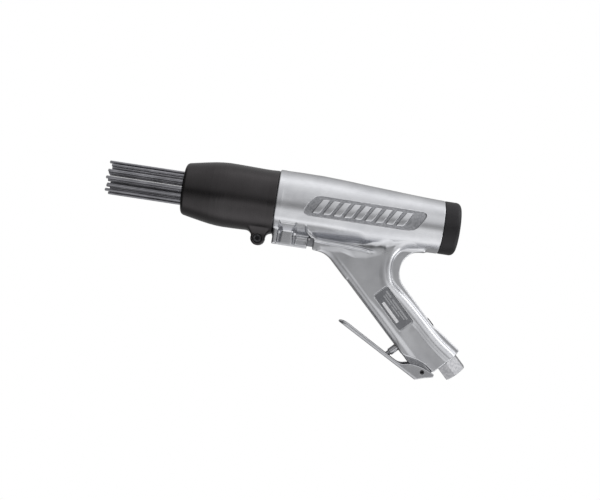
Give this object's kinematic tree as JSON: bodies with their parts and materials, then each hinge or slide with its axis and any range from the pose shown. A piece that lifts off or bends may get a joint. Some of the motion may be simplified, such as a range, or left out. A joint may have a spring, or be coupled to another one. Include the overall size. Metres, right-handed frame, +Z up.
{
  "type": "pneumatic needle scaler",
  "caption": "Pistol-grip air tool with a cast aluminium body, a black clamped nose sleeve, a bundle of long steel needles, a squeeze lever and a hex air inlet.",
  "frame": {"origin": "centre of the air inlet's mouth, at the foot of the grip", "axes": "+X runs along the barrel to the rear, so the needles point to -X; +Z is up; -Y is the tool's left side; the grip slopes 45 degrees down and back, and the inlet axis points to (+X, -Z)"},
  "size_m": [0.3803, 0.0664, 0.1868],
  "materials": {
    "cast_aluminium": "buffed sand-cast aluminium, satin with fine brushing",
    "black_sleeve": "black oxide and oil, satin",
    "black_cap": "matte black coating",
    "needle_steel": "drawn tool-steel wire",
    "bright_steel": "plain machined steel",
    "plated_steel": "dull nickel-plated steel",
    "hard_steel": "hardened and ground steel",
    "dark_steel": "blackened steel",
    "spring_steel": "oil-tempered spring wire",
    "brass": "machined brass",
    "bronze_felt": "sooty sintered bronze",
    "nitrile": "black nitrile rubber",
    "label_grey": "dark grey anodised plate"
  },
  "bodies": {
    "tool_body": {"housing": "cast_aluminium", "front_sleeve": "black_sleeve", "nose_bush": "dark_steel", "needle_spring": "spring_steel", "cylinder": "hard_steel", "valve_seat": "hard_steel", "valve_cover": "hard_steel", "rear_buffer": "nitrile", "rear_cap": "black_cap", "cap_o_ring": "nitrile", "sleeve_clamp_bolt": "dark_steel", "sleeve_clamp_washer": "dark_steel", "sleeve_clamp_nut": "dark_steel", "exhaust_muffler": "bronze_felt", "muffler_pin": "bright_steel", "lever_pin": "plated_steel", "plunger_bush": "brass", "plunger_o_ring": "nitrile", "throttle_spring": "spring_steel", "valve_plug": "dark_steel", "plug_o_ring": "nitrile", "inlet_bushing": "plated_steel", "inlet_strainer": "bright_steel", "label_plate": "label_grey"},
    "holder": {"needle_holder": "hard_steel"},
    "outer_needles": {"needles_outer_ring": "needle_steel"},
    "middle_needles": {"needles_middle_ring": "needle_steel"},
    "inner_needles": {"needles_inner_ring": "needle_steel"},
    "anvil": {"anvil": "hard_steel"},
    "piston": {"piston": "hard_steel"},
    "valve_plate": {"valve_plate": "hard_steel"},
    "throttle_lever": {"throttle_lever": "bright_steel"},
    "plunger": {"throttle_plunger": "plated_steel"},
    "throttle_valve": {"throttle_valve": "brass"}
  },
  "joints": [
    {"name": "lever_pivot", "type": "hinge", "parent": "tool_body", "child": "throttle_lever", "pos_m": [-0.03461, 0, -0.00315], "axis": [0, 1, 0], "range_deg": [0, 13], "stiffness_Nm_per_rad": 0.6, "springref_deg": -2.86},
    {"name": "plunger_slide", "type": "slide", "parent": "tool_body", "child": "plunger", "axis": [0.7071, 0, 0.7071], "range_m": [0, 0.00896]},
    {"name": "throttle_valve_slide", "type": "slide", "parent": "tool_body", "child": "throttle_valve", "axis": [0.7071, 0, 0.7071], "range_m": [0, 0.00896], "deforming": ["throttle_spring"]},
    {"name": "holder_slide", "type": "slide", "parent": "tool_body", "child": "holder", "axis": [1, 0, 0], "range_m": [-0.015, 0], "deforming": ["needle_spring"]},
    {"name": "outer_needle_slide", "type": "slide", "parent": "holder", "child": "outer_needles", "axis": [1, 0, 0], "range_m": [0, 0.0025]},
    {"name": "middle_needle_slide", "type": "slide", "parent": "holder", "child": "middle_needles", "axis": [1, 0, 0], "range_m": [0, 0.0025]},
    {"name": "inner_needle_slide", "type": "slide", "parent": "holder", "child": "inner_needles", "axis": [1, 0, 0], "range_m": [0, 0.0025]},
    {"name": "anvil_slide", "type": "slide", "parent": "tool_body", "child": "anvil", "axis": [1, 0, 0], "range_m": [-0.0015, 0]},
    {"name": "piston_slide", "type": "slide", "parent": "tool_body", "child": "piston", "axis": [1, 0, 0], "range_m": [-0.0115, 0.0145]},
    {"name": "valve_plate_slide", "type": "slide", "parent": "tool_body", "child": "valve_plate", "axis": [1, 0, 0], "range_m": [-0.0005, 0.0005]}
  ],
  "couplings": [
    {"joint": "plunger_slide", "follows": "lever_pivot", "m_per_rad": 0.0394},
    {"joint": "throttle_valve_slide", "follows": "lever_pivot", "m_per_rad": 0.0394}
  ]
}
